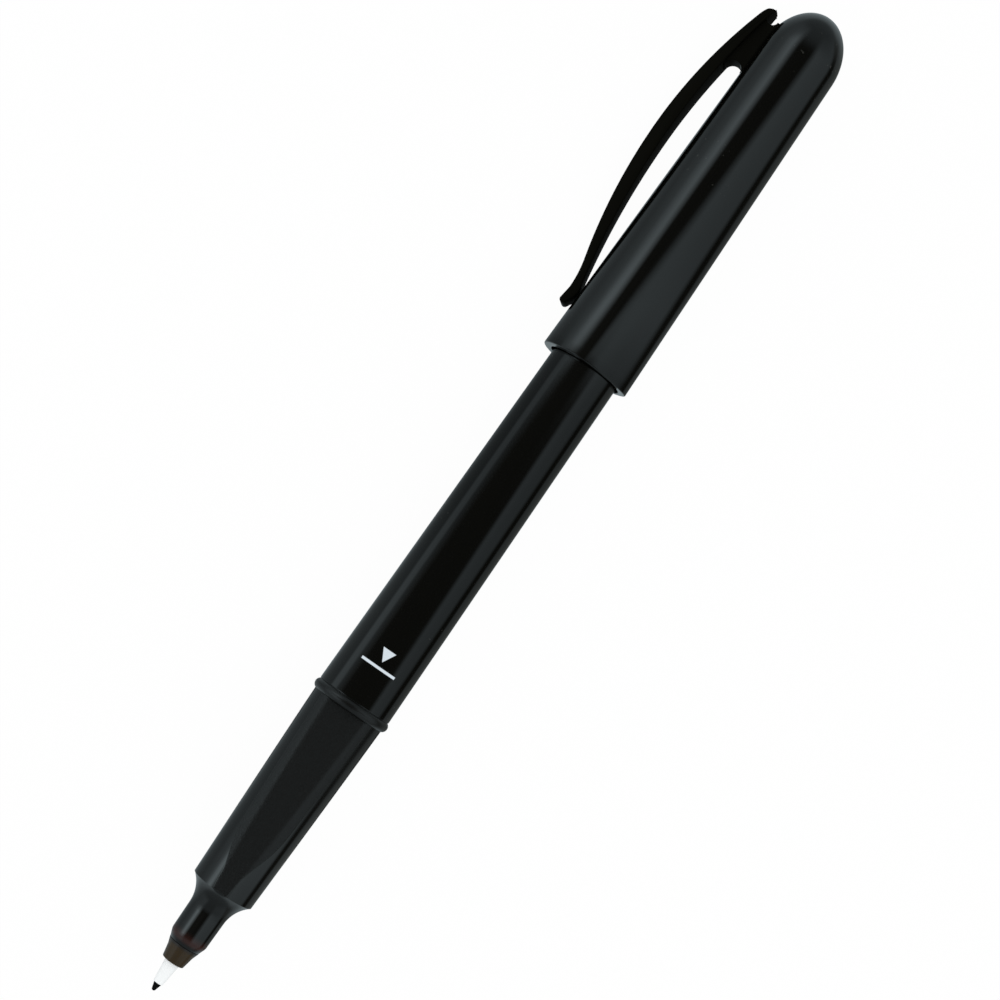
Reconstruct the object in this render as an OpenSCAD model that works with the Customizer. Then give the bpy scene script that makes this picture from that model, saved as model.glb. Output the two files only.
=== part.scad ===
// Fine permanent marker lying on a table with its cap posted on the rear of the barrel.
// Lengths are in millimetres. The pen lies along X with the nib towards +X and the clip towards -Y.
// Each piece is drawn along its own axis, with z as the distance from the nib tip.

/* [Nib] */
// Length of the bare fibre point
point_len = 1.1; // [0.6:0.1:2]
// Diameter of the writing tip
point_tip_d = 0.4; // [0.3:0.05:0.8]
// Diameter of the fibre core
core_d = 1.05; // [0.8:0.05:1.15]
// Diameter of the nib cover where the point leaves it
cover_front_d = 1.3; // [1.25:0.05:1.8]
// Diameter of the nib cover in the holder
cover_d = 2.0; // [1.85:0.05:2.4]
// Length of the nib cover that shows in front of the holder
cover_show = 3.1; // [2:0.1:5]
// Length of the nib cover inside the holder
cover_grip = 9; // [6:0.5:10]

/* [Nib holder] */
// Diameter of the holder at its mouth
holder_mouth_d = 3; // [2.7:0.05:3.4]
// Diameter of the holder where it starts to flare
holder_waist_d = 3.6; // [3.3:0.05:3.7]
// Distance from the holder's mouth to where it starts to flare
holder_waist = 1.6; // [1:0.05:1.8]
// Diameter of the holder where it meets the nose
holder_root_d = 4.2; // [3.8:0.05:4.5]
// Length of the holder in front of the nose
holder_show = 2.45; // [2:0.05:4]
// Diameter of the holder's shank in the nose
holder_shank_d = 3.3; // [2.9:0.05:3.5]
// Length of the holder's shank in the nose
holder_shank_len = 8; // [5:0.5:12]

/* [Grip section] */
// Length of the chamfer at the front of the nose
nose_chamfer = 1; // [0.6:0.05:2]
// Diameter of the nose
nose_d = 5.05; // [4.7:0.05:5.6]
// Length of the round part of the nose
nose_len = 3.65; // [2.5:0.05:6]
// Length of the hollow flare from the nose to the grip
flare_len = 3.5; // [2.6:0.05:4.4]
// Diameter at the front of the grip
grip_front_d = 8.4; // [8:0.05:9]
// Diameter at the rear of the grip
grip_rear_d = 9.9; // [9.5:0.05:10]
// Length of the grip
grip_len = 26.7; // [20:0.1:36]
// Distance from the axis to each of the grip's three flats
flat_from_axis = 4.1; // [3.8:0.05:4.15]
// Angle about the axis from the clip to the uppermost flat
flat_turn = 101; // [0:1:119]
// Diameter over the stop bead
bead_d = 10.75; // [10.4:0.05:11.2]
// Width of the stop bead
bead_w = 1.35; // [0.9:0.05:1.6]
// Diameter of the spigot that plugs into the barrel
spigot_d = 8.3; // [7.9:0.05:8.6]
// Length of the spigot
spigot_len = 6; // [4:0.5:10]
// Diameter of the ink channel through the grip
channel_d = 2.6; // [2.2:0.1:3]

/* [Barrel] */
// Diameter of the barrel at its front
barrel_front_d = 10.2; // [10:0.05:10.6]
// Diameter of the barrel at its rear
barrel_rear_d = 8.95; // [8.6:0.05:9.1]
// Length of the barrel
barrel_len = 73.4; // [60:0.2:90]
// Diameter of the barrel's bore
barrel_bore_d = 7.6; // [7.45:0.05:7.7]
// Radius of the barrel's rounded front edge
barrel_edge = 0.2; // [0.1:0.05:0.35]

/* [Ink reservoir] */
// Diameter over the wrapped reservoir
reservoir_d = 7.2; // [6.8:0.05:7.3]
// Thickness of the wrapping film
film_t = 0.12; // [0.08:0.02:0.3]
// Depth that the fibre core reaches into the reservoir
core_dip = 5; // [3:0.5:10]

/* [End plug] */
// Thickness of the plug's head
plug_head_t = 0.8; // [0.6:0.1:1.6]
// Length of the plug's shank
plug_len = 8; // [5:0.5:12]
// Wall of the plug's hollow shank
plug_wall = 0.8; // [0.6:0.1:1.4]
// Rounding of the plug's head
plug_edge = 0.4; // [0.2:0.05:0.55]

/* [Cap] */
// Length of the barrel and plug that sit in the posted cap
post_depth = 24; // [22:0.5:25]
// Diameter of the cap at its mouth
cap_mouth_d = 12.3; // [12:0.05:12.7]
// Diameter of the cap where the dome starts
cap_top_d = 10.45; // [10.2:0.05:10.9]
// Length of the cap from its mouth to the dome
cap_cone_len = 47.8; // [45:0.2:53]
// Height of the dome
dome_len = 7.15; // [5.6:0.05:8]
// Wall of the cap
cap_wall = 1.1; // [1:0.05:1.15]
// Thickness of the dome on the axis
dome_wall = 4.5; // [3:0.1:5]
// Wall between the hollow dome and the seal's seat
dome_ledge = 1.1; // [0.8:0.1:1.6]
// Rounding of the cap's lip
lip_round = 0.15; // [0.1:0.05:0.35]
// Depth that the two broad faces cut into the cap at its mouth
face_cut = 0.7; // [0.4:0.05:0.75]
// Radius of the two broad faces
face_r = 11.2; // [9.5:0.1:12.5]
// Angle about the axis from the clip to each broad face
face_turn = 133; // [126:1:138]
// Number of ribs that hold the posted barrel
rib_count = 6; // [3:1:9]
// Width of a posting rib
rib_w = 0.8; // [0.5:0.05:1.2]
// Depth from the mouth to the front of the ribs
rib_depth = 20; // [16:0.5:21]
// Length of a posting rib
rib_len = 4.5; // [3:0.5:6]

/* [Inner seal] */
// Depth from the cap's mouth to the seal
seal_depth = 30.3; // [29.5:0.1:31]
// Length of the seal
seal_len = 12.5; // [9:0.5:13]
// Thickness of the seal's closed end
seal_end_t = 1; // [0.8:0.1:2]
// Step in the cap's bore that the seal is pressed up to
seal_step = 0.1; // [0.05:0.05:0.2]

/* [Clip] */
// Distance from the axis to the outside of the clip at its crest
crest_r = 10.45; // [9.9:0.05:11]
// Distance from the cap's mouth to the crest
crest_from_mouth = 30.95; // [29:0.05:33]
// Thickness of the clip at its crest
clip_t = 1.9; // [1.5:0.05:2.1]
// Radius of the outer curve from the crest to the foot
outer_low_r = 76; // [72:1:84]
// Radius of the outer curve from the crest to the lip
outer_high_r = 64; // [58:1:72]
// Radius of the inner curve from the crest to the foot
inner_low_r = 112; // [106:1:120]
// Radius of the inner curve from the crest to the lip
inner_high_r = 86; // [80:1:94]
// Radius of the outer hollow over the foot
flick_r = 16; // [12:0.5:22]
// Distance from the crest to the clip's lip
lip_from_crest = 20.9; // [20:0.1:21.5]
// Distance from the crest to the middle of the foot's bump
foot_from_crest = 23.2; // [22.4:0.1:23.8]
// Length of the ski tip past the middle of the bump
ski_len = 2.25; // [2.1:0.05:3]
// Distance that the ski tip turns outwards
ski_flare = 0.15; // [0:0.05:0.3]
// Rounding of the ski tip
ski_r = 0.48; // [0.4:0.01:0.55]
// Rounding of the foot's bump
bump_r = 2.9; // [2.4:0.1:3.4]
// Distance from the middle of the bump to the start of the curved strap
strap_from_bump = 1.9; // [1.6:0.1:3]
// Length of the slant at the clip's lip
lip_slant = 0.35; // [0.2:0.05:0.6]
// Width of the clip at its lip
clip_lip_w = 4.0; // [3:0.1:5]
// Width of the clip at its foot
clip_foot_w = 2.6; // [2:0.1:3.2]
// Width of the stem between the clip and the cap
stem_w = 2.4; // [1.6:0.1:2.8]
// Depth of the stem's seat in the cap
stem_seat = 0.5; // [0.3:0.05:0.6]
// Distance from the crest to the bottom of the stem
stem_low = 12.9; // [12:0.1:13.4]
// Distance from the crest to the top of the stem
stem_high = 19.2; // [18:0.1:19.4]

/* [Clearances] */
// Gap around each seated piece
seat_gap = 0.02; // [0.01:0.01:0.05]
// Gap between the wrapped reservoir and its socket
reservoir_gap = 0.15; // [0.1:0.01:0.15]
// Play at each end of the reservoir
reservoir_play = 0.5; // [0.2:0.1:1]
// Gap between the posted barrel and the cap's ribs
post_gap = 0.05; // [0.03:0.01:0.1]
// Gap between the nose and the seal when the cap is closed
nose_gap = 0.05; // [0.02:0.01:0.1]
// Gap between the clip's foot and the cap
foot_gap = 0.12; // [0.1:0.01:0.3]
// Gap in the clip where it flexes
flex_gap = 0.3; // [0.25:0.05:0.5]

/* [Hidden] */
$fn = 96;

// Number of straight steps in a drawn arc
arc_steps = 12;
// How far a cutting shape runs past what it cuts
past = 0.5;
// Number of sides of the cap's smooth outside
hull_sides = 64;
mouth_turns = [0:360 / hull_sides:359];
// Thickness of a slice that guides the cap's smooth outside, and its taper
slice_t = 0.01;
slice_taper = 0.9;
// Sharpness of the ridges beside the broad faces
ridge_power = 60;

// Places along the axis, measured from the nib tip
holder_z = point_len + cover_show;
nose_z = holder_z + holder_show;
round_z = nose_z + nose_chamfer;
flare_z = round_z + nose_len;
grip_z = flare_z + flare_len;
bead_z = grip_z + grip_len;
barrel_z = bead_z + bead_w;
plug_z = barrel_z + barrel_len;
rear_z = plug_z + plug_head_t;
mouth_z = rear_z - post_depth;
dome_z = mouth_z + cap_cone_len;
total_len = dome_z + dome_len;
crest_z = mouth_z + crest_from_mouth;
foot_z = crest_z - foot_from_crest;
seal_z = mouth_z + seal_depth;
spigot_z = barrel_z + spigot_len;
reservoir_z = barrel_z + reservoir_play;
reservoir_end_z = plug_z - plug_len - reservoir_play;

// Radii that follow from the sizes above
socket_d = reservoir_d + 2 * reservoir_gap;
cap_slope = (cap_mouth_d - cap_top_d) / 2 / cap_cone_len;
barrel_slope = (barrel_front_d - barrel_rear_d) / 2 / barrel_len;
function cap_r(z) = cap_mouth_d / 2 - (z - mouth_z) * cap_slope;
function cap_bore_r(z) = cap_r(z) - cap_wall;
function barrel_r(z) = barrel_front_d / 2 - (z - barrel_z) * barrel_slope;
function dome_r(z) = cap_top_d / 2 * sqrt(1 - pow((z - dome_z) / dome_len, 2));
seal_seat_r = cap_bore_r(seal_z) - seal_step;
seal_bore_r = nose_d / 2 + nose_gap;
dome_bore_r = seal_seat_r - dome_ledge;
rib_r = barrel_r(mouth_z + rib_depth) + post_gap;

// Curves of the clip, as its distance from the axis
crest_in_r = crest_r - clip_t;
hollow_reach = outer_low_r + flick_r;
hollow_r = crest_r - hollow_reach + sqrt(pow(hollow_reach, 2) - pow(foot_from_crest, 2));
hollow_z = crest_z - foot_from_crest * outer_low_r / hollow_reach;
function clip_out(z) = z < hollow_z
    ? hollow_r + bow(flick_r, z - foot_z)
    : crest_r - bow(z < crest_z ? outer_low_r : outer_high_r, z - crest_z);
function clip_in(z) = crest_in_r - bow(z < crest_z ? inner_low_r : inner_high_r, z - crest_z);
function bow(r, along) = r - sqrt(r * r - along * along);
function clip_w(z) = clip_foot_w + (clip_lip_w - clip_foot_w) * (z - foot_z) / (lip_z - foot_z);
lip_z = crest_z + lip_from_crest;
stem_low_z = crest_z + stem_low;
stem_high_z = crest_z + stem_high;
stem_root_r = cap_r(stem_high_z) - stem_seat;
arch_r = (clip_in(stem_low_z) - cap_r(stem_low_z)) / 2;
notch_r = (clip_in(stem_high_z) - dome_r(stem_high_z)) / 2;
flex_z = stem_low_z - arch_r - flex_gap;

// The pen lies on the cap's lip and on the lower corner of the clip's crest
clip_corner = [crest_r, clip_w(crest_z) / 2];
clip_dip = asin(cap_mouth_d / 2 / norm(clip_corner)) - atan2(clip_corner.y, clip_corner.x);
clip_reach = crest_r * cos(clip_dip) + clip_corner.y * sin(clip_dip);
clip_turn = -90 - clip_dip;
face_off = face_r - (cap_mouth_d / 2 - face_cut);
far_reach = max([for (turn = mouth_turns) mouth_edge(turn) * cos(180 - clip_dip - turn)]);
tip_x = total_len / 2;
axis_y = (clip_reach - far_reach) / 2;
axis_z = cap_mouth_d / 2;

function arc(centre, r, from, to) = [for (i = [0:arc_steps])
    centre + r * [cos(from + (to - from) * i / arc_steps), sin(from + (to - from) * i / arc_steps)]];

module on_axis() {
    translate([tip_x, axis_y, axis_z])
        rotate([0, -90, 0])
            children();
}

module lathe(outline) {
    rotate_extrude()
        polygon(outline);
}

module bore(d, from, to) {
    translate([0, 0, from])
        cylinder(d = d, h = to - from);
}

// Flat shape in the clip's own plane, given as distance from the axis and place along it
module clip_slab(width) {
    rotate([90, 0, 0])
        linear_extrude(width, center = true)
            children();
}

module barrel() {
    color("#15171a")
        on_axis() difference() {
            lathe(concat(
                [[0, barrel_z]],
                arc([barrel_front_d / 2 - barrel_edge, barrel_z + barrel_edge], barrel_edge, -90, 0),
                [[barrel_rear_d / 2, plug_z], [0, plug_z]]));
            bore(barrel_bore_d, barrel_z - past, plug_z + past);
            bore(spigot_d + 2 * seat_gap, barrel_z - past, spigot_z + past);
        }
}

// Turned shape of the grip section before its flats are cut
module grip_blank() {
    flare_rise = (grip_front_d - nose_d) / 2;
    flare_r = (flare_len * flare_len + flare_rise * flare_rise) / (2 * flare_rise);
    flare_end = asin(flare_len / flare_r);
    bead_rise = (bead_d - grip_rear_d) / 2;
    bead_r = (bead_w * bead_w / 4 + bead_rise * bead_rise) / (2 * bead_rise);
    bead_end = asin(bead_w / 2 / bead_r);
    lathe(concat(
        [[0, nose_z], [holder_root_d / 2, nose_z], [nose_d / 2, round_z]],
        arc([nose_d / 2 + flare_r, flare_z], flare_r, 180, 180 - flare_end),
        arc([bead_d / 2 - bead_r, bead_z + bead_w / 2], bead_r, -bead_end, bead_end),
        [[spigot_d / 2, barrel_z], [spigot_d / 2, spigot_z], [0, spigot_z]]));
}

// Space outside one flat of the grip, which widens up to the bead as the grip grows
module flat_cut() {
    translate([flat_from_axis, -bead_d / 2, flare_z])
        cube([bead_d, bead_d, bead_z - flare_z]);
}

module grip_section() {
    color("#1c1e1d")
        on_axis() difference() {
            grip_blank();
            for (side = [0:2])
                rotate([0, 0, clip_turn + flat_turn + 120 * side])
                    flat_cut();
            bore(holder_shank_d + 2 * seat_gap, nose_z - past, nose_z + holder_shank_len + seat_gap);
            bore(channel_d, nose_z, spigot_z);
            bore(socket_d, barrel_z, spigot_z + past);
        }
}

module nib_holder() {
    shank_end = nose_z + holder_shank_len;
    color("#3c2a20")
        on_axis() difference() {
            lathe([
                [0, holder_z], [holder_mouth_d / 2, holder_z],
                [holder_waist_d / 2, holder_z + holder_waist], [holder_root_d / 2, nose_z],
                [holder_shank_d / 2, nose_z], [holder_shank_d / 2, shank_end], [0, shank_end]]);
            bore(cover_d + 2 * seat_gap, holder_z - past, shank_end + past);
        }
}

module nib_cover() {
    cover_end = holder_z + cover_grip;
    color("#f2f6f8")
        on_axis() difference() {
            lathe([
                [0, point_len], [cover_front_d / 2, point_len], [cover_d / 2, holder_z],
                [cover_d / 2, cover_end], [0, cover_end]]);
            bore(core_d + 2 * seat_gap, point_len - past, cover_end + past);
        }
}

module nib_core() {
    tip_r = point_tip_d / 2;
    core_end = reservoir_z + core_dip;
    color("#0a0a0a")
        on_axis() lathe(concat(
            arc([0, tip_r], tip_r, -90, 0),
            [[core_d / 2, point_len], [core_d / 2, core_end], [0, core_end]]));
}

module ink_reservoir() {
    color("#2a2a30")
        on_axis() difference() {
            bore(reservoir_d - 2 * film_t - 2 * seat_gap, reservoir_z, reservoir_end_z);
            bore(core_d + 2 * seat_gap, reservoir_z - past, reservoir_z + core_dip + seat_gap);
        }
}

module reservoir_film() {
    color("#e9ecee")
        on_axis() difference() {
            bore(reservoir_d, reservoir_z, reservoir_end_z);
            bore(reservoir_d - 2 * film_t, reservoir_z - past, reservoir_end_z + past);
        }
}

module end_plug() {
    shank_r = barrel_bore_d / 2 - seat_gap;
    shank_z = plug_z - plug_len;
    color("#15171a")
        on_axis() difference() {
            lathe(concat(
                [[0, shank_z], [shank_r, shank_z], [shank_r, plug_z], [barrel_rear_d / 2, plug_z]],
                arc([barrel_rear_d / 2 - plug_edge, rear_z - plug_edge], plug_edge, 0, 90),
                [[0, rear_z]]));
            bore(2 * (shank_r - plug_wall), shank_z - past, plug_z);
        }
}

// Distance from the axis to the mouth's edge, in a direction given from the clip.
// It is a smooth minimum of the round wall and the two broad faces.
function mouth_edge(turn) = pow(
    pow(cap_mouth_d / 2, -ridge_power)
    + pow(face_edge(turn - face_turn), -ridge_power)
    + pow(face_edge(turn + face_turn), -ridge_power), -1 / ridge_power);
function face_edge(turn) = sqrt(face_r * face_r - pow(face_off * sin(turn), 2)) - face_off * cos(turn);

module mouth_slice(z, inset) {
    edge = [for (turn = mouth_turns) (mouth_edge(turn) - inset) * [cos(turn), sin(turn)]];
    translate([0, 0, z])
        linear_extrude(slice_t, scale = slice_taper)
            polygon(edge);
}

// Outside of the cap: round at the dome, flattened at the mouth by two broad faces away from the clip
module cap_outside() {
    hull() {
        for (turn = [0:30:90])
            mouth_slice(mouth_z + lip_round * (1 - cos(turn)), lip_round * (1 - sin(turn)));
        rotate_extrude($fn = hull_sides)
            polygon(concat([[0, dome_z]], [for (turn = [0:90 / arc_steps:90])
                [cap_top_d / 2 * cos(turn), dome_z + dome_len * sin(turn)]]));
    }
}

module cap_hollow() {
    seat_end = seal_z + seal_len;
    hollow_end = total_len - dome_wall;
    lathe([
        [0, mouth_z - past], [cap_bore_r(mouth_z - past), mouth_z - past],
        [cap_bore_r(seal_z), seal_z], [seal_seat_r, seal_z], [seal_seat_r, seat_end],
        [dome_bore_r, seat_end], [dome_bore_r - dome_ledge, hollow_end], [0, hollow_end]]);
}

module posting_ribs() {
    rib_z = mouth_z + rib_depth;
    for (i = [0:rib_count - 1])
        rotate([0, 0, 360 * (i + 0.5) / rib_count])
            translate([rib_r, -rib_w / 2, rib_z])
                cube([cap_bore_r(rib_z) + cap_wall / 2 - rib_r, rib_w, rib_len]);
}

module cap_shell() {
    color("#16181a")
        on_axis() rotate([0, 0, clip_turn])
            difference() {
                cap_outside();
                difference() {
                    cap_hollow();
                    posting_ribs();
                }
                clip_slab(stem_w + 2 * seat_gap)
                    stem_side(seat_gap);
            }
}

module inner_seal() {
    seal_end = seal_z + seal_len;
    color("#2b2d30")
        on_axis() difference() {
            bore(2 * (seal_seat_r - seat_gap), seal_z, seal_end);
            bore(2 * seal_bore_r, seal_z - past, seal_end - seal_end_t);
        }
}

// Side view of the clip from the tip of its foot to its lip
module clip_outline() {
    bump_at = [cap_r(foot_z) + foot_gap + bump_r, foot_z];
    tip_z = foot_z - ski_len + ski_r;
    tip_at = [clip_out(tip_z) + ski_flare - ski_r, tip_z];
    strap_z = foot_z + strap_from_bump;
    steps = 2 * arc_steps;
    outer = [for (i = [0:steps]) foot_z + (lip_z - lip_slant - foot_z) * i / steps];
    inner = [for (i = [0:steps]) lip_z + (strap_z - lip_z) * i / steps];
    polygon(concat(
        arc(bump_at, bump_r, 155, 215),
        arc(tip_at, ski_r, 200, 360),
        [for (z = outer) [clip_out(z), z]],
        [[(clip_in(lip_z) + 3 * clip_out(lip_z)) / 4, lip_z]],
        [for (z = inner) [clip_in(z), z]]));
}

// The clip seen from outside, narrowing towards the foot
module clip_plan() {
    foot_end = foot_z - ski_len;
    polygon([
        [-clip_w(foot_end) / 2, foot_end], [clip_w(foot_end) / 2, foot_end],
        [clip_w(lip_z) / 2, lip_z], [-clip_w(lip_z) / 2, lip_z]]);
}

module clip_strap() {
    intersection() {
        clip_slab(2 * clip_lip_w)
            clip_outline();
        rotate([90, 0, 90])
            linear_extrude(2 * crest_r)
                clip_plan();
    }
}

// Side view of the web between the strap and the cap, before it is hollowed
module stem_side(gap) {
    low_z = stem_low_z - arch_r;
    high_z = stem_high_z + notch_r;
    polygon([
        [stem_root_r - gap, low_z - gap], [clip_in(low_z), low_z - gap],
        [clip_in(high_z), high_z + gap], [stem_root_r - gap, high_z + gap]]);
}

// The web, hollowed by an arch below and a notch above
module stem() {
    clip_slab(stem_w)
        difference() {
            stem_side(0);
            translate([cap_r(stem_low_z) + arch_r, stem_low_z - arch_r])
                circle(arch_r);
            translate([dome_r(stem_high_z) + notch_r, stem_high_z + notch_r])
                circle(notch_r);
        }
}

module whole_clip() {
    clip_strap();
    stem();
}

module clip_part(from, to) {
    on_axis() rotate([0, 0, clip_turn])
        intersection() {
            whole_clip();
            translate([0, -clip_lip_w, from])
                cube([2 * crest_r, 2 * clip_lip_w, to - from]);
        }
}

module clip_root() {
    color("#1a1b18")
        clip_part(flex_z + flex_gap / 2, lip_z + past);
}

module clip_arm() {
    color("#1a1b18")
        clip_part(foot_z - ski_len - past, flex_z - flex_gap / 2);
}

barrel();
grip_section();
nib_holder();
nib_cover();
nib_core();
ink_reservoir();
reservoir_film();
end_plug();
cap_shell();
inner_seal();
clip_root();
clip_arm();
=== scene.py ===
import math
import bmesh
import bpy
from mathutils import Matrix, Vector


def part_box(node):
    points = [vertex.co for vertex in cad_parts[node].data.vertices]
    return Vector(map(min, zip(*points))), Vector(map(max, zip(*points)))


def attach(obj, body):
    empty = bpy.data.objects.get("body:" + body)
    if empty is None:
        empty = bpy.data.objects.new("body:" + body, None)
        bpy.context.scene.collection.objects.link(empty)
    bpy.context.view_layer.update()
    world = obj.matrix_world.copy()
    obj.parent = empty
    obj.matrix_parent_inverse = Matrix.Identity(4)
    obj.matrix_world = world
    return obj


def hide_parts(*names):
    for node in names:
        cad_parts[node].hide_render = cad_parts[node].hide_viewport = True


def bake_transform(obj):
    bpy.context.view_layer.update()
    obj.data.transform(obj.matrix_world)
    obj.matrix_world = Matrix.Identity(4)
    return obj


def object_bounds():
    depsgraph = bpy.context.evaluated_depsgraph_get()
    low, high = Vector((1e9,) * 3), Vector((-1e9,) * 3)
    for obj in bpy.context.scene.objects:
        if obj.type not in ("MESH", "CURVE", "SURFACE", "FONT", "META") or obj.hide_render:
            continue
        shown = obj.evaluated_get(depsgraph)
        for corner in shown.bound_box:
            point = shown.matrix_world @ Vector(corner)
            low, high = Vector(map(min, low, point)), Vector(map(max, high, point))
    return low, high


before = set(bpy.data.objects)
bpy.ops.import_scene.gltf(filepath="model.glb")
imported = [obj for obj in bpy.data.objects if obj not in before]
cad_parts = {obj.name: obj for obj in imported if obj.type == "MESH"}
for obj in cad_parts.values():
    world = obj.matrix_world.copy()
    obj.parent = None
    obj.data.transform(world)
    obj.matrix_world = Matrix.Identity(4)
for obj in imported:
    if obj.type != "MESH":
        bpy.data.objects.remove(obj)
cad_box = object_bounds()


# Ink reservoir: a bundle of bonded polyester fibres, soaked with black ink and wrapped
# in a thin clear film. It is pushed into the barrel from the rear, and stays hidden there.
class Shade:
    """One output of a material's nodes, which takes part in plain Python expressions."""

    def __init__(self, tree, socket=None):
        self.tree = tree
        self.socket = socket

    def plug(self, socket, value):
        """Links a value to a socket, or sets the socket where the value is a constant."""
        if isinstance(value, Shade):
            self.tree.links.new(value.socket, socket)
        else:
            socket.default_value = value

    def add(self, kind, settings=None, inputs=None, out=0):
        """Adds a node with its settings and inputs, and gives one of its outputs."""
        node = self.tree.nodes.new(kind)
        for name, value in (settings or {}).items():
            if name == "stops":
                ramp = node.color_ramp.elements
                while len(ramp) < len(value):
                    ramp.new(0.5)
                for element, (position, colour) in zip(ramp, value):
                    element.position = position
                    element.color = colour
            else:
                setattr(node, name, value)
        for name, value in (inputs or {}).items():
            self.plug(node.inputs[name], value)
        return Shade(self.tree, node.outputs[out])

    def math(self, operation, *values):
        return self.add("ShaderNodeMath", {"operation": operation}, dict(enumerate(values)))

    def __add__(self, other):
        return self.math("ADD", self, other)

    def __radd__(self, other):
        return self.math("ADD", other, self)

    def __sub__(self, other):
        return self.math("SUBTRACT", self, other)

    def __rsub__(self, other):
        return self.math("SUBTRACT", other, self)

    def __mul__(self, other):
        return self.math("MULTIPLY", self, other)

    def __rmul__(self, other):
        return self.math("MULTIPLY", other, self)

    def __lt__(self, other):
        return self.math("LESS_THAN", self, other)

    def __gt__(self, other):
        return self.math("GREATER_THAN", self, other)

    def __abs__(self):
        return self.math("ABSOLUTE", self)

    def mix(self, low, high):
        """Blends two colours by this value."""
        return self.add("ShaderNodeMix", {"data_type": "RGBA"}, {0: self, 6: low, 7: high}, out=2)

    def between(self, low, high):
        """Runs smoothly from 0 at low to 1 at high."""
        return self.add(
            "ShaderNodeMapRange",
            {"interpolation_type": "SMOOTHSTEP"},
            {"Value": self, "From Min": low, "From Max": high},
        )


def new_finish(name, constants):
    """Starts a material, with the values that are the same all over set on its shader."""
    material = bpy.data.materials.new(name)
    material.use_nodes = True
    shader = material.node_tree.nodes["Principled BSDF"]
    for socket, value in constants.items():
        shader.inputs[socket].default_value = value
    return material, shader, Shade(material.node_tree)


def grain(nodes, size, stretch=(1, 1, 1), detail=2.0):
    """Noise with grains of the given size in metres, drawn out by stretch."""
    place = nodes.add("ShaderNodeTexCoord", out="Object")
    scaled = nodes.add("ShaderNodeMapping", {}, {"Vector": place, "Scale": [1 / s for s in stretch]})
    return nodes.add("ShaderNodeTexNoise", {}, {"Vector": scaled, "Scale": 1 / size, "Detail": detail})


def raised(nodes, shader, height, depth):
    """Lifts the surface by depth metres where height is 1."""
    bump = nodes.add("ShaderNodeBump", {}, {"Height": height, "Distance": depth})
    nodes.plug(shader.inputs["Normal"], bump)


def dress(node, material):
    """Gives a solid that keeps its own mesh a material."""
    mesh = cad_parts[node].data
    mesh.materials.clear()
    mesh.materials.append(material)


mm = 0.001
strand_w, strand_depth = 0.25 * mm, 0.06 * mm
fibre_bundle, shader, nodes = new_finish("fibre_bundle", {"Roughness": 0.9})
strands = grain(nodes, strand_w, (40, 1, 1))
soaked = strands.mix((0.006, 0.006, 0.008, 1), (0.04, 0.04, 0.048, 1))
nodes.plug(shader.inputs["Base Color"], soaked)
raised(nodes, shader, strands, strand_depth)
dress("ink_reservoir", fibre_bundle)

crease_w, crease_depth = 1.5 * mm, 0.03 * mm
clear_film, shader, nodes = new_finish("clear_film", {"Base Color": (0.8, 0.82, 0.83, 1), "Alpha": 0.5})
creases = grain(nodes, crease_w, (6, 1, 1))
nodes.plug(shader.inputs["Roughness"], 0.12 + 0.2 * creases)
raised(nodes, shader, creases, crease_depth)
dress("reservoir_film", clear_film)


# Barrel: a slightly tapered tube, injection moulded in black polypropylene with a polished
# skin. A bar and a triangle are pad printed on it in white ink, near its front end.
nib_low, nib_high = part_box("nib_core")
axis_y = (nib_low.y + nib_high.y) / 2
axis_z = (nib_low.z + nib_high.z) / 2
tip_x = nib_high.x
cap_way = Vector((-1, 0, 0))
# Pieces are drawn with the nib tip at the origin and the pen running up the z axis
along_pen = Matrix(((0, 0, -1, tip_x), (0, 1, 0, axis_y), (1, 0, 0, axis_z), (0, 0, 0, 1)))


def arc(centre, radius, start, end, steps=8):
    """Points on an arc, as distance from the pen's axis and place along it, in mm."""
    turns = [math.radians(start + (end - start) * i / steps) for i in range(steps + 1)]
    return [(centre[0] + radius * math.cos(t), centre[1] + radius * math.sin(t)) for t in turns]


def line(start, end, steps):
    """Evenly spaced points from start to end, with both ends."""
    shares = [i / steps for i in range(steps + 1)]
    return [tuple(p + (q - p) * share for p, q in zip(start, end)) for share in shares]


def turned(outline, closed=True, steps=192):
    """Spins an outline around the pen's axis. An open one starts and ends on the axis."""
    shape = bmesh.new()
    points = [shape.verts.new((r * mm, 0, a * mm)) for r, a in outline]
    pairs = list(zip(points, points[1:]))
    if closed:
        pairs.append((points[-1], points[0]))
    edges = [shape.edges.new(pair) for pair in pairs]
    bmesh.ops.spin(
        shape, geom=points + edges, cent=(0, 0, 0), axis=(0, 0, 1), angle=2 * math.pi,
        steps=steps, use_merge=True, use_duplicate=False,
    )
    bmesh.ops.remove_doubles(shape, verts=shape.verts, dist=0.001 * mm)
    bmesh.ops.recalc_face_normals(shape, faces=shape.faces)
    return shape


def make_piece(shape, name, material, sharp=38):
    """Turns a drawn shape into an object of the scene, at its place on the pen."""
    bmesh.ops.transform(shape, matrix=along_pen, verts=shape.verts)
    mesh = bpy.data.meshes.new(name)
    shape.to_mesh(mesh)
    shape.free()
    mesh.shade_smooth()
    mesh.set_sharp_from_angle(angle=math.radians(sharp))
    mesh.materials.append(material)
    piece = bpy.data.objects.new(name, mesh)
    bpy.context.collection.objects.link(piece)
    return piece


def paint(nodes, shader, colour, roughness):
    """Gives the shader a colour and a roughness that change over the surface."""
    nodes.plug(shader.inputs["Base Color"], colour)
    nodes.plug(shader.inputs["Roughness"], roughness)


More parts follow.
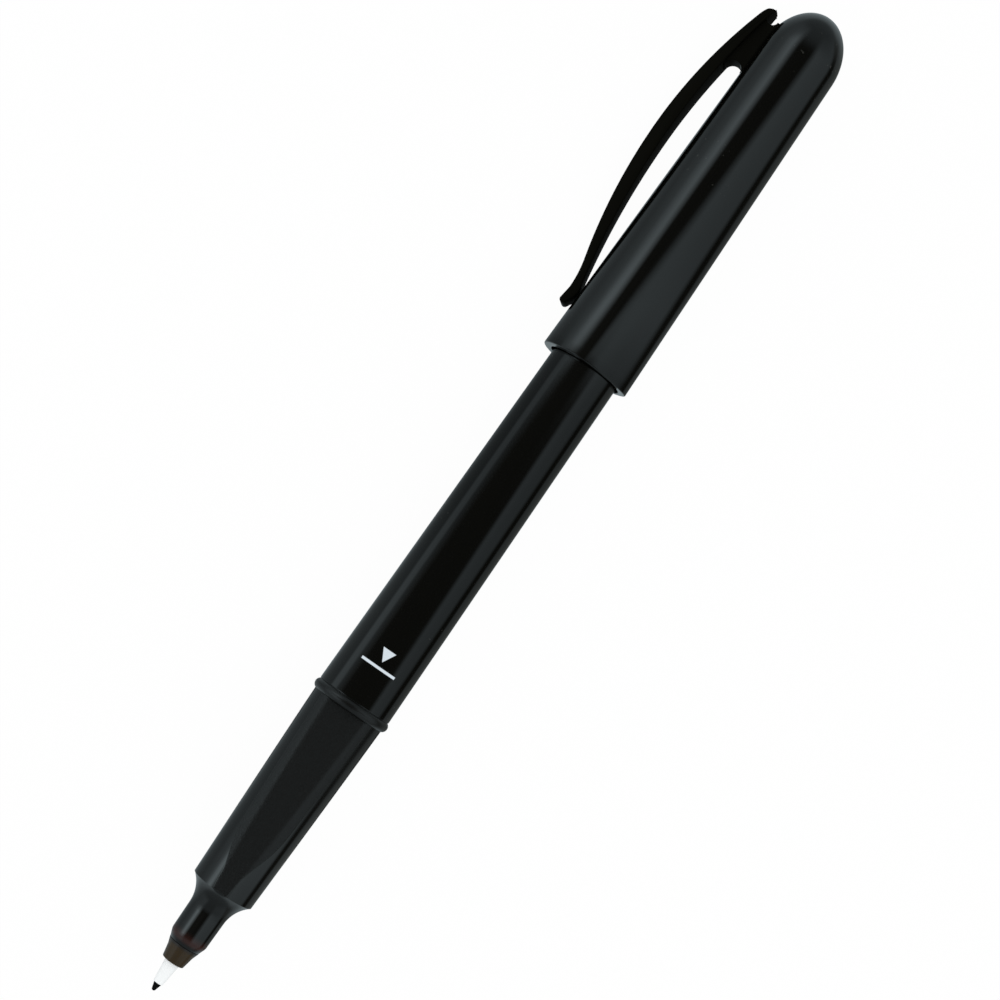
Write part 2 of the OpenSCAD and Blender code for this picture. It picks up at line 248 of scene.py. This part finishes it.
def polish(name, base, roughness):
    """Polished black plastic: faint flow marks, fine handling scratches and specks of dust."""
    flow_size, scratch_w, patch_size, speck_size = 6 * mm, 0.3 * mm, 9 * mm, 0.45 * mm
    uneven, wear_rough = 0.2, 0.05
    material, shader, nodes = new_finish(name, {"IOR": 1.5})
    flow = grain(nodes, flow_size, (4, 1, 1))
    scratch = grain(nodes, scratch_w, (30, 1, 1))
    patches = grain(nodes, patch_size, detail=0).between(0.6, 0.7)
    dust = patches * grain(nodes, speck_size, detail=0).between(0.79, 0.83)
    darker, lighter = (tuple(c * level for c in base) + (1,) for level in (1 - uneven, 1 + uneven))
    skin = dust.mix(flow.mix(darker, lighter), (0.02, 0.02, 0.018, 1))
    wear = 0.5 * flow + 0.5 * scratch
    return material, shader, nodes, skin, roughness + wear_rough * wear


def reach_along(nodes, vector, direction):
    """How far a vector reaches in a direction."""
    return nodes.add(
        "ShaderNodeVectorMath", {"operation": "DOT_PRODUCT"}, {0: vector, 1: direction}, out="Value")


def on_pen(nodes):
    """Where a point of the surface lies: its distance behind the tip, and its way from the axis."""
    place = nodes.add("ShaderNodeTexCoord", out="Object")
    around = nodes.add("ShaderNodeVectorMath", {"operation": "SUBTRACT"}, {0: place, 1: (0, axis_y, axis_z)})
    return reach_along(nodes, place, cap_way) + tip_x, around


barrel_front = 42.85
barrel_end = 116.25
barrel_front_r = 5.1
barrel_end_r = 4.475
barrel_bore_r = 3.8
spigot_bore_r = 4.17
spigot_bore_end = 49.35
front_edge = 0.1
rear_edge = 0.12
taper_start = (barrel_front_r, barrel_front + 2 * front_edge)
taper_end = (barrel_end_r, barrel_end - 2 * rear_edge)
barrel_shape = turned(
    [(spigot_bore_r, barrel_front)]
    + arc((barrel_front_r - front_edge, barrel_front + front_edge), front_edge, -90, 0)
    + line(taper_start, taper_end, 30)
    + arc((barrel_end_r - rear_edge, barrel_end - rear_edge), rear_edge, 0, 90)
    + [(barrel_bore_r, barrel_end), (barrel_bore_r, spigot_bore_end), (spigot_bore_r, spigot_bore_end)]
)

black_plastic = (0.0010, 0.0010, 0.0007)
barrel_gloss, shader, nodes, skin, gloss = polish("barrel_gloss", black_plastic, 0.07)
ahead, around = on_pen(nodes)
# The print faces the side that lies up, and is measured across the barrel from its middle
print_lean = math.radians(76)
across = reach_along(nodes, around, (0, math.sin(print_lean), math.cos(print_lean)))
facing = reach_along(nodes, around, (0, -math.cos(print_lean), math.sin(print_lean))) > 0
print_edge, print_depth = 0.03 * mm, 0.008 * mm


def inside(distance, limit):
    """1 where a distance is below a limit, with the soft edge of the print."""
    return 1 - distance.between(limit - print_edge, limit + print_edge)


bar_at, bar_half_w, bar_middle, bar_half_len = 47.9 * mm, 0.17 * mm, 0.1 * mm, 2.4 * mm
bar = inside(abs(ahead - bar_at), bar_half_w) * inside(abs(across - bar_middle), bar_half_len)
apex_at, base_at, arrow_middle, arrow_half_w = 48.7 * mm, 50.4 * mm, 0.12 * mm, 0.92 * mm
arrow_reach = (ahead - apex_at) * (arrow_half_w / (base_at - apex_at))
arrow = inside(abs(across - arrow_middle) - arrow_reach, 0) * inside(ahead, base_at)
printed = facing * nodes.math("MAXIMUM", bar, arrow)
paint(nodes, shader, printed.mix(skin, (0.68, 0.76, 0.82, 1)), gloss + 0.3 * printed)
raised(nodes, shader, printed, print_depth)

barrel = make_piece(barrel_shape, "barrel_tube", barrel_gloss)
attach(barrel, "pen")
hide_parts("barrel")


# End plug: a small moulded stopper, hollow from inside, that is pressed into the rear of the
# barrel and closes it. It is the same black plastic, and sits inside the posted cap.
plug_gloss, shader, nodes, skin, gloss = polish("plug_gloss", black_plastic, 0.12)
paint(nodes, shader, skin, gloss)
dress("end_plug", plug_gloss)


# Grip section: the front moulding, black polypropylene. Three long flats with a fine satin, which
# spreads round the grip further back, run up to the stop bead. Its spigot plugs into the barrel.
nose_front, nose_start, flare_start, grip_start, bead_start = 6.65, 7.65, 11.3, 14.8, 41.5
nose_front_r, nose_r, nose_draft, grip_front_r, grip_rear_r = 2.1, 2.525, 0.06, 4.2, 4.95
front_rim_w, front_rim_len = 0.1, 0.08
shoulder_w, shoulder_ahead, shoulder_behind = 0.06, 0.14, 0.1
flare_len = grip_start - flare_start
flare_rise = grip_front_r - nose_r
flare_r = (flare_len ** 2 + flare_rise ** 2) / (2 * flare_rise)
flare_turn = math.degrees(math.asin(flare_len / flare_r))
bead_w = barrel_front - bead_start
bead_rise = 0.425
bead_r = (bead_w ** 2 / 4 + bead_rise ** 2) / (2 * bead_rise)
bead_turn = math.degrees(math.asin(bead_w / 2 / bead_r))
bead_middle = (grip_rear_r + bead_rise - bead_r, bead_start + bead_w / 2)
bead_joint_r = barrel_front_r - 0.06
bead_joint = math.degrees(math.acos((bead_joint_r - bead_middle[0]) / bead_r))
# The arcs stop a few degrees short of the corners that they run into, which softens these
nose_soft, rim_soft, bead_soft = 3, 2, 4
shank_bore_r, shank_bore_end, channel_r = 1.67, 14.67, 1.3
spigot_r, spigot_end, socket_r = 4.15, 48.85, 3.75
grip_shape = turned(
    [(shank_bore_r, nose_front), (nose_front_r - front_rim_w, nose_front)]
    + [(nose_front_r, nose_front + front_rim_len)]
    + [(nose_r - nose_draft - shoulder_w, nose_start - shoulder_ahead)]
    + line((nose_r - nose_draft, nose_start + shoulder_behind), (nose_r, flare_start), 10)
    + arc((nose_r + flare_r, flare_start), flare_r, 180 - nose_soft, 180 - flare_turn + rim_soft, 18)
    + line((grip_front_r, grip_start), (grip_rear_r, bead_start), 90)
    + arc(bead_middle, bead_r, -bead_turn + bead_soft, bead_joint, 14)
    + [(bead_joint_r, barrel_front), (spigot_r, barrel_front), (spigot_r, spigot_end)]
    + [(socket_r, spigot_end), (socket_r, barrel_front), (channel_r, barrel_front)]
    + [(channel_r, shank_bore_end), (shank_bore_r, shank_bore_end)],
    steps=288,
)
# Each flat is pressed into the round by a soft minimum, with edges that are softer at the rear
clip_turn = math.radians(-116.4618)
flat_from_axis, flat_count, first_flat = 4.12, 3, 101
flat_turns = [clip_turn + math.radians(first_flat + 360 / flat_count * side) for side in range(flat_count)]
front_power, rear_power = 160, 40
tiny = 0.01
for vert in grip_shape.verts:
    r = math.hypot(vert.co.x, vert.co.y) / mm
    a = vert.co.z / mm
    if r > nose_r and flare_start < a < bead_start + tiny:
        turn = math.atan2(vert.co.y, vert.co.x)
        reaches = [max(math.cos(turn - flat), tiny) * r / flat_from_axis for flat in flat_turns]
        frontness = min(max((bead_start - a) / (bead_start - grip_start), 0), 1)
        power = rear_power * (front_power / rear_power) ** frontness
        share = (1 + sum(reach ** power for reach in reaches)) ** (-1 / power)
        vert.co.x *= share
        vert.co.y *= share

grip_satin, shader, nodes = new_finish("grip_satin", {"IOR": 1.5})
ahead, around = on_pen(nodes)
flat_reaches = [reach_along(nodes, around, (0, math.sin(flat), math.cos(flat))) for flat in flat_turns]
reach = nodes.math("MAXIMUM", nodes.math("MAXIMUM", flat_reaches[0], flat_reaches[1]), flat_reaches[2])
on_bead = ahead.between((bead_start - 0.1) * mm, bead_start * mm)
satin_start, satin_full, spread_start, spread_full = 14.6 * mm, 14.9 * mm, 17 * mm, 25 * mm
satin_outside, satin_inside, spread_w = 4.06 * mm, 4.115 * mm, 0.75 * mm
on_grip = ahead.between(satin_start, satin_full) * (1 - on_bead)
spread = ahead.between(spread_start, spread_full) * spread_w
satin = on_grip * (reach + spread).between(satin_outside, satin_inside)
worn_start, worn_full = 20 * mm, 38 * mm
worn = ahead.between(worn_start, worn_full) * (1 - on_bead)
spark_size, spark_depth, cloud_size = 0.16 * mm, 0.04 * mm, 5 * mm
sparks = grain(nodes, spark_size, detail=3)
clouds = grain(nodes, cloud_size, (2, 1, 1))
# A little red light that comes through the thin front of the nose is painted into its colour as a painted
# glow
glow_start, glow_middle, glow_end = 6.9 * mm, 7.5 * mm, 8.8 * mm
painted_glow = (1 - ahead.between(glow_middle, glow_end)) * ahead.between(glow_start, glow_middle)
skin = clouds.mix((0.0012, 0.0012, 0.0010, 1), (0.0022, 0.0022, 0.0019, 1))
# Painted glow: red mixed into the base colour just behind the nose's front edge
skin_with_painted_glow = (painted_glow * (0.5 + clouds)).mix(skin, (0.024, 0.008, 0.006, 1))
gloss_rough, worn_rough, satin_rough, spark_rough, bead_rough = 0.08, 0.16, 0.23, 0.3, 0.24
dull = satin * (satin_rough - worn_rough * worn + spark_rough * sparks)
paint(nodes, shader, skin_with_painted_glow, gloss_rough + worn_rough * worn + dull + bead_rough * on_bead)
raised(nodes, shader, satin * sparks, spark_depth)

grip = make_piece(grip_shape, "grip_moulding", grip_satin)
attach(grip, "pen")
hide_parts("grip_section")


# Nib holder: a small ferrule in smoky brown, half clear plastic, pressed into the nose. It is darker
# towards its root, where it goes into the nose.
holder_front, holder_waist, holder_root = 4.2, 5.8, 6.65
holder_front_r, holder_waist_r, holder_root_r = 1.5, 1.8, 2.1
holder_shank_r, holder_shank_end, cover_bore_r = 1.65, 14.65, 1.02
rim, bore_rim = 0.12, 0.06
holder_shape = turned(
    [(cover_bore_r + bore_rim, holder_front)]
    + arc((holder_front_r - rim, holder_front + rim), rim, -90, -10, 6)
    + line((holder_waist_r, holder_waist), (holder_root_r, holder_root), 6)
    + [(holder_shank_r, holder_root), (holder_shank_r, holder_shank_end)]
    + [(cover_bore_r, holder_shank_end), (cover_bore_r, holder_front + bore_rim)],
    steps=96,
)
smoky_brown, shader, nodes = new_finish("smoky_brown", {"IOR": 1.5})
ahead, around = on_pen(nodes)
swirl_size, swirl_depth = 1.2 * mm, 0.01 * mm
swirl = grain(nodes, swirl_size, (2, 1, 1))
root_start, root_full = 6.1 * mm, 6.6 * mm
root = ahead.between(root_start, root_full)
brown = swirl.mix((0.021, 0.0112, 0.0015, 1), (0.030, 0.0162, 0.0025, 1))
paint(nodes, shader, root.mix(brown, (0.011, 0.008, 0.006, 1)), 0.12 + 0.1 * swirl)
raised(nodes, shader, swirl, swirl_depth)
holder = make_piece(holder_shape, "nib_ferrule", smoky_brown)
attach(holder, "pen")
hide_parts("nib_holder")


# Nib cover: a white plastic sleeve, slightly tapered, moulded around the fibre and pushed
# into the ferrule. It stiffens the fibre behind its point.
cover_front, cover_end = 1.1, 13.2
cover_front_r, cover_r, core_bore_r = 0.65, 1.0, 0.545
cover_rim = 0.06
cover_shape = turned(
    [(core_bore_r, cover_front)]
    + arc((cover_front_r - cover_rim, cover_front + cover_rim), cover_rim, -90, -5, 5)
    + [(cover_r, holder_front), (cover_r, cover_end), (core_bore_r, cover_end)],
    steps=64,
)
sleeve_white, shader, nodes = new_finish("sleeve_white", {"IOR": 1.48})
milk_size, milk_depth = 0.8 * mm, 0.004 * mm
milky = grain(nodes, milk_size)
whites = milky.mix((0.93, 0.96, 0.97, 1), (0.96, 0.98, 0.98, 1))
paint(nodes, shader, whites, 0.3 + 0.15 * milky)
raised(nodes, shader, milky, milk_depth)
cover = make_piece(cover_shape, "nib_sleeve", sleeve_white)
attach(cover, "pen")
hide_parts("nib_cover")


# Nib: a rod of bonded fibres, black with ink, ground to a blunt point. It runs back through
# the sleeve, the ferrule and the grip into the reservoir.
point_r, point_soft, core_r, core_end = 0.27, 0.02, 0.525, 48.35
nib_shape = turned(
    [(0, 0)]
    + arc((0, point_r), point_r, -80, -12, 8)
    + line((point_r + point_soft, point_r + 2 * point_soft), (core_r, cover_front), 8)
    + [(core_r, core_end), (0, core_end)],
    closed=False,
    steps=64,
)
inked_fibre, shader, nodes = new_finish("inked_fibre", {"Specular IOR Level": 0.1})
fibre_w, fibre_depth = 0.05 * mm, 0.03 * mm
strands = grain(nodes, fibre_w, (12, 1, 1))
inked = strands.mix((0.001, 0.001, 0.001, 1), (0.004, 0.004, 0.003, 1))
paint(nodes, shader, inked, 0.55 + 0.3 * strands)
raised(nodes, shader, strands, fibre_depth)
nib = make_piece(nib_shape, "nib_rod", inked_fibre)
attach(nib, "pen")
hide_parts("nib_core")


# Cap: a domed cone, injection moulded in the same polished black plastic. Two broad faces
# flatten its mouth away from the clip, and ribs inside it grip the barrel when it is posted.
mouth, dome_start, cap_end = 93.05, 140.85, 148.0
mouth_r, dome_r, cap_wall = 6.15, 5.225, 1.1
lip, inner_lip = 0.15, 0.06
seal_start, seal_stop, hollow_end = 123.35, 135.85, 143.5
seal_seat_r, dome_bore_r, dome_bore_end_r = 4.364, 3.264, 2.164
bore_slope = (mouth_r - dome_r) / (dome_start - mouth)
mouth_bore_r = mouth_r - cap_wall
seal_step_r = mouth_bore_r - (seal_start - mouth) * bore_slope
dome_len = cap_end - dome_start
dome_steps = 28
dome_turns = [math.pi / 2 * i / dome_steps for i in range(dome_steps)]
cap_shape = turned(
    [(0, hollow_end), (dome_bore_end_r, hollow_end), (dome_bore_r, seal_stop), (seal_seat_r, seal_stop)]
    + [(seal_seat_r, seal_start), (seal_step_r, seal_start)]
    + arc((mouth_bore_r + inner_lip, mouth + inner_lip), inner_lip, 180, 270, 5)
    + arc((mouth_r - lip, mouth + lip), lip, -90, 0, 9)
    + line((mouth_r, mouth + 1.5 * lip), (dome_r, dome_start), 40)[:-1]
    + [(dome_r * math.cos(t), dome_start + dome_len * math.sin(t)) for t in dome_turns]
    + [(0, cap_end)],
    closed=False,
    steps=256,
)
face_r, face_cut, face_turn, ridge_power = 11.2, 0.7, math.radians(133), 60
face_off = face_r - (mouth_r - face_cut)


def face_edge(turn):
    """Distance from the axis to one broad face at the mouth."""
    return math.sqrt(face_r ** 2 - (face_off * math.sin(turn)) ** 2) - face_off * math.cos(turn)


def mouth_edge(turn):
    """Distance from the axis to the mouth's edge, in a direction measured from the clip."""
    reaches = (mouth_r, face_edge(turn - face_turn), face_edge(turn + face_turn))
    return sum(r ** -ridge_power for r in reaches) ** (-1 / ridge_power)


# Only the outer skin follows the broad faces: the bore stays round
skin_from_bore = 0.2
for vert in cap_shape.verts:
    r = math.hypot(vert.co.x, vert.co.y) / mm
    a = vert.co.z / mm
    bore_r = mouth_bore_r - (a - mouth) * bore_slope
    if r > bore_r + skin_from_bore and a < dome_start:
        turn = math.atan2(vert.co.y, vert.co.x) - clip_turn
        fade = (dome_start - a) / (dome_start - mouth)
        share = 1 + (mouth_edge(turn) / mouth_r - 1) * fade
        vert.co.x *= share
        vert.co.y *= share

rib_count, rib_w, rib_start, rib_end, rib_r, rib_rim = 6, 0.8, 113.05, 117.55, 4.552, 0.12
rib_back = mouth_bore_r - (rib_start - mouth) * bore_slope + cap_wall / 2
rib_middle = Vector(((rib_r + rib_back) / 2, 0, (rib_start + rib_end) / 2)) * mm
rib_size = Vector((rib_back - rib_r, rib_w, rib_end - rib_start)) * mm
rib_place = Matrix.Translation(rib_middle) @ Matrix.Diagonal(rib_size).to_4x4()
for i in range(rib_count):
    turn = clip_turn + math.tau * (i + 0.5) / rib_count
    rib = bmesh.ops.create_cube(cap_shape, size=1, matrix=Matrix.Rotation(turn, 4, "Z") @ rib_place)
    rib_edges = list({edge for vert in rib["verts"] for edge in vert.link_edges})
    bmesh.ops.bevel(
        cap_shape, geom=rib_edges, offset=rib_rim * mm, segments=2, profile=0.5, affect="EDGES",
        material=-1)

cap_gloss, shader, nodes, skin, gloss = polish("cap_gloss", black_plastic, 0.09)
paint(nodes, shader, skin, gloss)
cap = make_piece(cap_shape, "cap_moulding", cap_gloss)
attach(cap, "cap")
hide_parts("cap_shell")


# Inner seal: a soft polyethylene cup, snapped into the cap behind its bore, that closes over
# the nose and keeps the nib from drying out.
wax_size, wax_depth = 1.5 * mm, 0.01 * mm
seal_soft, shader, nodes = new_finish("seal_soft", {"IOR": 1.5})
waxy = grain(nodes, wax_size)
paint(nodes, shader, waxy.mix((0.02, 0.021, 0.023, 1), (0.035, 0.036, 0.04, 1)), 0.45 + 0.2 * waxy)
raised(nodes, shader, waxy, wax_depth)
dress("inner_seal", seal_soft)


# Clip: a bowed strap with a turned-out foot and a rounded tail, moulded in one with the cap on a
# narrow web. Its outer face is polished, its sides are satin.
crest, crest_r, clip_t = 124.0, 10.45, 1.9
outer_low_r, outer_high_r, inner_low_r, inner_high_r, flick_r = 76, 64, 112, 86, 16
foot, hollow, lip_end, lip_slant, ski_len, ski_r = 100.8, 104.835, 145.3, 0.35, 2.25, 0.48
hollow_r, bump_r, foot_gap, strap_from_bump, ski_flare = 7.477, 2.9, 0.12, 1.9, 0.15
foot_w, lip_w, tail_len, tail_taper, strap_rim = 2.6, 4.0, 1.8, 0.8, 0.2


def bow(radius, along):
    """How far an arc has dropped at a distance along from its top."""
    return radius - math.sqrt(radius ** 2 - along ** 2)


def clip_out(a):
    """Distance from the axis to the strap's outer face."""
    if a < hollow:
        return hollow_r + bow(flick_r, a - foot)
    return crest_r - bow(outer_low_r if a < crest else outer_high_r, a - crest)


def clip_in(a):
    """Distance from the axis to the strap's inner face."""
    return crest_r - clip_t - bow(inner_low_r if a < crest else inner_high_r, a - crest)


def slab(outline, width, rounding):
    """A flat outline, as distance from the axis and place along it, given a width and soft rims."""
    shape = bmesh.new()
    face = shape.faces.new([shape.verts.new((r * mm, -0.5, a * mm)) for r, a in outline])
    grown = bmesh.ops.extrude_face_region(shape, geom=[face])
    bmesh.ops.translate(
        shape, vec=(0, 1, 0), verts=[v for v in grown["geom"] if isinstance(v, bmesh.types.BMVert)])
    for vert in shape.verts:
        vert.co.y *= width(vert.co.z / mm) * mm
    bmesh.ops.recalc_face_normals(shape, faces=shape.faces)
    rims = [e for e in shape.edges if e.verts[0].co.y * e.verts[1].co.y > 0]
    bmesh.ops.bevel(
        shape, geom=rims, offset=rounding * mm, segments=3, profile=0.5, affect="EDGES", material=-1)
    return shape


def strap_w(a):
    """Width of the strap, which widens from its foot and is rounded off at its tail."""
    full = foot_w + (lip_w - foot_w) * (a - foot) / (lip_end - foot)
    past = max(a - lip_end + tail_len, 0) / tail_len
    return full * math.sqrt(1 - tail_taper * past ** 2)


bump_at = (mouth_r - (foot - mouth) * bore_slope + foot_gap + bump_r, foot)
ski_end = foot - ski_len + ski_r
ski_at = (clip_out(ski_end) + ski_flare - ski_r, ski_end)
tail = lip_end - tail_len
strap_steps, tail_steps = 60, 8
outer_places = line([foot], [tail], strap_steps) + line([tail], [lip_end - lip_slant], tail_steps)[1:]
inner_places = line([lip_end], [tail], tail_steps) + line([tail], [foot + strap_from_bump], strap_steps)[1:]
lip_corner = ((clip_in(lip_end) + 3 * clip_out(lip_end)) / 4, lip_end)
strap_shape = slab(
    arc(bump_at, bump_r, 155, 215, 12)
    + arc(ski_at, ski_r, 200, 360, 14)
    + [(clip_out(a), a) for (a,) in outer_places]
    + [lip_corner]
    + [(clip_in(a), a) for (a,) in inner_places],
    strap_w,
    strap_rim,
)
stem_low, stem_high, web_w, web_seat, web_sink, web_rim = 136.9, 143.2, 2.4, 0.5, 0.3, 0.12
low_cap_r = mouth_r - (stem_low - mouth) * bore_slope
high_cap_r = dome_r * math.sqrt(1 - ((stem_high - dome_start) / dome_len) ** 2)
arch_r = (clip_in(stem_low) - low_cap_r) / 2
notch_r = (clip_in(stem_high) - high_cap_r) / 2
web_root_r = mouth_r - (stem_high - mouth) * bore_slope - web_seat
web_low, web_high = stem_low - arch_r, stem_high + notch_r
web_shape = slab(
    [(web_root_r, web_low)]
    + arc((low_cap_r + arch_r, web_low), arch_r, 180, 0, 16)
    + [(clip_in(a) + web_sink, a) for (a,) in line([web_low], [web_high], 8)]
    + arc((high_cap_r + notch_r, web_high), notch_r, 0, -180, 12)
    + [(web_root_r, web_high)],
    lambda a: web_w,
    web_rim,
)
web_mesh = bpy.data.meshes.new("clip_web")
web_shape.to_mesh(web_mesh)
web_shape.free()
strap_shape.from_mesh(web_mesh)
bpy.data.meshes.remove(web_mesh)
bmesh.ops.rotate(
    strap_shape, cent=(0, 0, 0), matrix=Matrix.Rotation(clip_turn, 3, "Z"), verts=strap_shape.verts)

clip_satin, shader, nodes = new_finish(
    "clip_satin", {"IOR": 1.5, "Specular IOR Level": 0.012, "Coat Roughness": 0.12})
faced = nodes.add("ShaderNodeTexCoord", out="Normal")
faced_out = reach_along(nodes, faced, (0, math.sin(clip_turn), math.cos(clip_turn)))
nodes.plug(shader.inputs["Coat Weight"], faced_out.between(0.4, 0.8))
fleck_size, fleck_depth, cloud_size = 0.1 * mm, 0.004 * mm, 3 * mm
flecks = grain(nodes, fleck_size, detail=3)
clouds = grain(nodes, cloud_size, (3, 1, 1))
blacks = clouds.mix((0.0028, 0.0028, 0.0020, 1), (0.0042, 0.0042, 0.0030, 1))
paint(nodes, shader, blacks, 0.35 + 0.1 * flecks)
raised(nodes, shader, flecks, fleck_depth)
clip = make_piece(strap_shape, "cap_clip", clip_satin)


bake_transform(clip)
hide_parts("clip_root", "clip_arm")


# Floor: a sheet of white paper that the pen lies on. The camera sees it as white, with a small
# part of its own shading left in it. The pen's plastic mirrors the studio and not the sheet.
floor_half, shown_white = 1.5, 0.97
floor_shape = bmesh.new()
bmesh.ops.create_grid(floor_shape, x_segments=1, y_segments=1, size=floor_half)
bmesh.ops.translate(floor_shape, vec=(0, 0, cad_box[0][2]), verts=floor_shape.verts)
floor_mesh = bpy.data.meshes.new("floor")
floor_shape.to_mesh(floor_mesh)
floor_shape.free()
floor = bpy.data.objects.new("floor", floor_mesh)
bpy.context.collection.objects.link(floor)
paper, shader, nodes = new_finish(
    "paper", {"Base Color": (0.9, 0.9, 0.9, 1), "Roughness": 1.0, "Specular IOR Level": 0})
seen = nodes.add("ShaderNodeLightPath", out="Is Camera Ray")
white = nodes.add("ShaderNodeEmission", {}, {"Color": (1, 1, 1, 1), "Strength": 1.0}, out="Emission")
plain = Shade(paper.node_tree, shader.outputs[0])
sheet = nodes.add("ShaderNodeMixShader", {}, {0: seen * shown_white, 1: plain, 2: white}, out="Shader")
nodes.plug(paper.node_tree.nodes["Material Output"].inputs["Surface"], sheet)
floor_mesh.materials.append(paper)
floor.visible_glossy = False


# Camera: above the pen and a little towards the clip, nearer to the nib than to the cap,
# and rolled so that the pen lies across the picture.
lift, lean, roll = math.radians(75.8), math.radians(4.5), math.radians(34.83)
distance, focal_px, image_px, sensor = 262 * mm, 2099, 1000, 36.0
off_middle, off_axis = 0.45 * mm, 0.63 * mm
towards = Vector((math.sin(lean), -math.cos(lift) * math.cos(lean), math.sin(lift) * math.cos(lean)))
up_pen = (cap_way - towards * cap_way.dot(towards)).normalized()
side = up_pen.cross(towards)
right = math.sin(roll) * up_pen + math.cos(roll) * side
up = math.cos(roll) * up_pen - math.sin(roll) * side
looked_at = Vector((off_middle, axis_y, axis_z)) + off_axis * side
camera_data = bpy.data.cameras.new("camera")
camera_data.sensor_width = sensor
camera_data.lens = focal_px * sensor / image_px
camera_data.clip_start = 10 * mm
camera = bpy.data.objects.new("camera", camera_data)
turn = Matrix((right, up, towards)).transposed().to_4x4()
camera.matrix_world = Matrix.Translation(looked_at + distance * towards) @ turn
bpy.context.collection.objects.link(camera)
bpy.context.scene.camera = camera


# Studio: an even white dome lights the pen. What its polished plastic mirrors is the dome's
# inside: a soft box on the clip's side, a grey sheet on the other, a dark opening above them,
# and plain grey beyond both ends of the pen.
world = bpy.data.worlds.new("studio")
bpy.context.scene.world = world
world.use_nodes = True
nodes = Shade(world.node_tree)
way = nodes.add("ShaderNodeTexCoord", out="Generated")
ramp_scale = 0.5


def grey(level):
    """A level of light as a colour, cool where it is bright, scaled to fit into a ramp."""
    cool = min(level / 0.3, 1)
    return tuple(ramp_scale * level * tint for tint in (1 - 0.15 * cool, 1, 0.85 + 0.2 * cool)) + (1,)


def band(turn, stops):
    """Light from the dome by the angle around the pen, in degrees from the middle of the opening."""
    share = turn * (1 / math.tau) + 0.5
    colours = [(0.5 + angle / 360, grey(level)) for angle, level in stops]
    return nodes.add("ShaderNodeValToRGB", {"stops": colours}, {"Fac": share})


overhead = Vector((0, -math.cos(lift), math.sin(lift)))
far_side = Vector((0, math.sin(lift), math.cos(lift)))
from_above = reach_along(nodes, way, overhead)
around_pen = nodes.math("ARCTAN2", reach_along(nodes, way, far_side), from_above)
endwards = nodes.math("ARCSINE", reach_along(nodes, way, cap_way)) * math.degrees(1)
below_clip_side = [(-180, 0.42), (-172, 0.4), (-160, 0.33)]
below_far_side = [(130, 0.2), (160, 0.13), (172, 0.38), (180, 0.42)]
# Near the cap's mouth the opening bends towards the clip
bend_rate, bend_until = 0.075, 13.2
bend = (endwards > 0) * (1 - around_pen.between(0.4, 1.3)) * bend_rate
bent = around_pen + bend * nodes.math("MAXIMUM", bend_until - endwards, 0)
end_stops = [
    (-130, 0.3), (-95, 0.36), (-70, 0.62), (-45, 1.55), (-26, 0.06), (15, 0.05), (32, 0.72),
    (86, 0.46), (97, 0.03), (108, 0.03), (115, 0.24)]
end_band = band(bent, below_clip_side + end_stops + below_far_side)
# Over the barrel it is wider, and its far edge runs at a slant
slant_rate, slant_from = 0.035, -1
slant = (around_pen > 0) * (1 - 0.75 * around_pen.between(1.0, 1.6)) * slant_rate
slanted = around_pen + slant * nodes.math("MAXIMUM", endwards - slant_from, 0)
middle_stops = [
    (-130, 0.28), (-88, 0.33), (-80, 0.85), (-67, 0.85), (-60, 0.36), (-48, 0.2), (-40, 0.06),
    (49, 0.05), (60, 0.52), (88, 0.36), (99, 0.03), (111, 0.03), (117, 0.24)]
middle_band = band(slanted, below_clip_side + middle_stops + below_far_side)
# Further towards both ends it fades out
far_band = band(around_pen, [
    (-180, 0.6), (-120, 0.45), (-95, 0.38), (-70, 0.5), (-45, 0.6), (-26, 0.3), (17, 0.28),
    (35, 0.42), (84, 0.4), (97, 0.2), (111, 0.2), (130, 0.4), (180, 0.6)])
middle = endwards.between(-11, -3) * (1 - endwards.between(9.2, 11.5))
opening = endwards.between(-32, -14) * (1 - endwards.between(24, 50))
plain_ends = from_above.between(-0.35, -0.05).mix(grey(0.6), grey(0.3))
at_ends = abs(endwards).between(45, 65)
mirrored = at_ends.mix(opening.mix(far_band, middle.mix(end_band, middle_band)), plain_ends)
# The soft box is dimmer over the rear of the barrel, and the light is strongest beside the middle
dimmed = endwards.between(0, 6) * (1 - endwards.between(9.3, 11.3)) * (around_pen < -0.75)
past_brim = abs(endwards) + (around_pen > 0) * (1.5 + 1.5 * (endwards < 0))
brim = (1 - middle) * (1 - past_brim.between(11.5, 15)) * bent.between(-1.1, -0.9)
strength = (1 / ramp_scale) * (1 - 0.4 * dimmed) * (1 + 0.5 * brim)
scaled = nodes.add("ShaderNodeVectorMath", {"operation": "SCALE"}, {0: mirrored, "Scale": strength})
glossy = nodes.add("ShaderNodeLightPath", out="Is Glossy Ray")
dome_light = glossy.mix((1, 1, 1, 1), scaled)
nodes.plug(world.node_tree.nodes["Background"].inputs["Color"], dome_light)

bpy.context.scene.view_settings.view_transform = "Standard"
